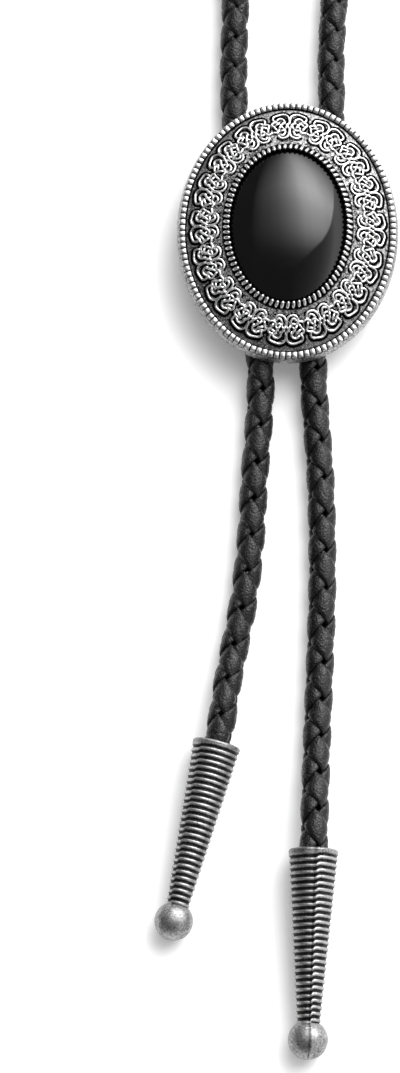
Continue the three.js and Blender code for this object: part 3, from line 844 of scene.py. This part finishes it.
# The lines of all knots, side by side round the field, swept into raised strands.
def makeKnots():
    across, along, _ = fieldOval(knots["share"])
    fine, run = ovalRun(across, along)
    points, edges = [], []
    for knot in range(knots["count"]):
        middle = run[-1] * (0.25 + knot / knots["count"])  # the first knot is at the top
        for mirror in (1, -1):
            for strand in knotStrands.values():
                line, rise = strandLine(strand["points"], mirror * strand["level"])
                angle = np.interp((middle - mirror * line[:, 0]) % run[-1], run, fine)
                ahead = unit(np.stack([-across * np.sin(angle), along * np.cos(angle)], 1))
                x = across * np.cos(angle) + line[:, 1] * ahead[:, 1]
                y = along * np.sin(angle) - line[:, 1] * ahead[:, 0]
                z = fieldHeight(x, y) + rise
                first = len(points)
                points += np.stack([x, y, z], 1).tolist()
                edges += [(first + k, first + k + 1) for k in range(len(line) - 1)]
    mesh = bpy.data.meshes.new("knotwork")
    mesh.from_pydata([tuple(c * mm for c in p) for p in points], edges, [])
    section = strandSection()
    obj = runTree(addObject("knotwork", mesh), knotTree(section), {})
    bpy.data.objects.remove(section)
    return obj


finishPiece(castingBody(), "cast_silver", "slide")
shoulder = (slide["width"] / 2 - slide["wallFlare"], slide["length"] / 2 - slide["wallFlare"])
finishPiece(makeRing("rib_ring", ribShape(), shoulder, {
    "Height": slide["ribTop"] * mm, "Count": ribs["count"], "Seed": ribs["seed"],
}), "cast_silver")
finishPiece(makeRing("bead_ring", beadShape(), beads["oval"], {
    "Height": beads["height"] * mm, "Count": beads["count"], "Turn": math.radians(beads["slant"]),
    "Seed": beads["seed"],
}), "cast_silver")
finishPiece(makeStipple(), "cast_silver")
finishPiece(makeKnots(), "cast_silver")
print("slide cast")


stone = {
    "width": 21.8, "length": 29.7, "base": 9.2, "edge": 1.8, "height": 5.4, "cap": 0.7, "rows": 44,
    "chamfer": 0.1, "shoulder": 0.15, "crown": 0.008,
}


# A straight edge and a cap of a sphere, stretched to the oval.
def makeStone():
    half = (stone["width"] / 2, stone["length"] / 2)
    base, chamfer, top = stone["base"], stone["chamfer"], stone["base"] + stone["edge"]
    rows = [
        ovalRow(half[0] - chamfer, half[1] - chamfer, base), ovalRow(*half, base + chamfer),
        ovalRow(*half, top - stone["shoulder"]),
    ]
    rim = math.sqrt(1 - stone["cap"] ** 2)
    for share in np.linspace(1, stone["crown"], stone["rows"]):
        rise = (math.sqrt(1 - (stone["cap"] * share) ** 2) - rim) / (1 - rim)
        height = top + (stone["height"] - stone["edge"]) * rise
        rows.append(ovalRow(half[0] * share, half[1] * share, height))
    skin, faces = solidRows(rows)
    mesh = meshFrom("cabochon", skin * mm, faces)
    mesh.materials.append(stoneBlack)
    return addObject("cabochon", mesh)


finishPiece(makeStone(), "black_stone", "stone")
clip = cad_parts["back_clip"]
clip.data.materials.clear()
clip.data.materials.append(nickel)
print("stone set")


# The sky is charted on a plane overhead, one high: across runs to the right and along runs up the picture.
# Each stop is a place and a level, and each stop of the edge a place and a share of its reach. The ranges are
# the places that each of the four curves covers.
studio = {
    "floorSize": 10.0, "floor": 0.9, "floorRoughness": 0.9, "floorGlow": 0.2,
    "window": 9.6, "room": 0.15, "beyond": 2.0, "horizon": 0.02, "skew": 0.12, "skewFrom": 0.7,
    "across": [
        (-1.0, 0.0), (-0.72, 0.05), (-0.43, 0.115), (-0.23, 0.2), (-0.05, 0.36), (0.13, 0.58),
        (0.32, 0.88), (0.54, 1.0), (0.83, 0.95), (1.2, 0.75), (2.0, 0.6),
    ],
    "along": [
        (-0.3, 0.0), (-0.14, 0.03), (-0.03, 0.1), (0.08, 0.25), (0.19, 0.41), (0.3, 0.54), (0.41, 0.62),
        (0.54, 0.73), (0.7, 0.9), (0.9, 1.0), (1.2, 0.9), (1.6, 0.72), (2.3, 0.5), (3.4, 0.25), (4.5, 0.1),
    ],
    "edge": [
        (-0.3, 0.05), (-0.15, 0.12), (0.0, 0.207), (0.13, 0.293), (0.27, 0.36), (0.45, 0.433),
        (0.6, 0.477), (0.8, 0.527), (1.1, 0.607), (1.6, 0.72), (2.6, 0.95),
    ],
    "edgeReach": 3.0, "edgeSoftness": 0.08,
    "glow": [
        (0.1, 0.0), (0.35, 0.04), (0.6, 0.1), (0.9, 0.2), (1.3, 0.45), (1.7, 0.82), (2.4, 0.78),
        (3.2, 0.52), (6.0, 0.18),
    ],
    "ranges": {"across": (-1, 2), "along": (-0.5, 4.5), "edge": (-0.5, 3), "glow": (0, 6)},
}


# A pale floor under one large window light, up and to the right, that is brightest along its right edge.
def makeStudio():
    size = studio["floorSize"]
    corners = [(-size, -size, 0), (size, -size, 0), (size, size, 0), (-size, size, 0)]
    floor = addObject("floor", meshFrom("floor", corners, [(0, 1, 2, 3)]))
    material, tree, shader = newMaterial("floor_paper")
    shader.inputs["Base Color"].default_value = (studio["floor"],) * 3 + (1,)
    shader.inputs["Roughness"].default_value = studio["floorRoughness"]
    shader.inputs["Emission Color"].default_value = (1, 1, 1, 1)
    shader.inputs["Emission Strength"].default_value = studio["floorGlow"]
    floor.data.materials.append(material)
    world = bpy.data.worlds.new("studio")
    world.use_nodes = True
    bpy.context.scene.world = world
    sky = world.node_tree

    def curve(name, value):
        return rampBetween(sky, value, studio[name], *studio["ranges"][name])

    direction = addNode(sky, "ShaderNodeTexCoord").outputs["Generated"]
    x, y, z = addNode(sky, "ShaderNodeSeparateXYZ", Vector=direction).outputs
    height = calc(sky, "MAXIMUM", z, studio["horizon"])
    across, along = calc(sky, "DIVIDE", x, height), calc(sky, "DIVIDE", y, height)
    edge = calc(sky, "MULTIPLY", curve("edge", along), studio["edgeReach"])
    past = calc(sky, "SUBTRACT", edge, across)
    inside = calc(sky, "MULTIPLY_ADD", past, 1 / studio["edgeSoftness"], 0.5, clamp=True)
    leaning = calc(sky, "MULTIPLY_ADD", along, studio["skew"], -studio["skew"] * studio["skewFrom"])
    fromLeft = curve("across", calc(sky, "ADD", across, leaning))
    fromFoot = curve("along", along)
    window = calc(sky, "MULTIPLY", calc(sky, "MULTIPLY", fromLeft, fromFoot), studio["window"])
    window = calc(sky, "MULTIPLY", window, inside)
    outside = calc(sky, "MULTIPLY", calc(sky, "SUBTRACT", 1.0, inside), studio["beyond"])
    glow = calc(sky, "MULTIPLY", curve("glow", across), outside)
    level = calc(sky, "ADD", window, glow)
    level = calc(sky, "MULTIPLY", level, calc(sky, "GREATER_THAN", z, studio["horizon"]))
    back = sky.nodes["Background"]
    back.inputs[0].default_value = (1, 1, 1, 1)
    sky.links.new(calc(sky, "ADD", level, studio["room"]), back.inputs[1])
    bpy.context.scene.view_settings.view_transform = "Standard"


makeStudio()
print("studio lit")
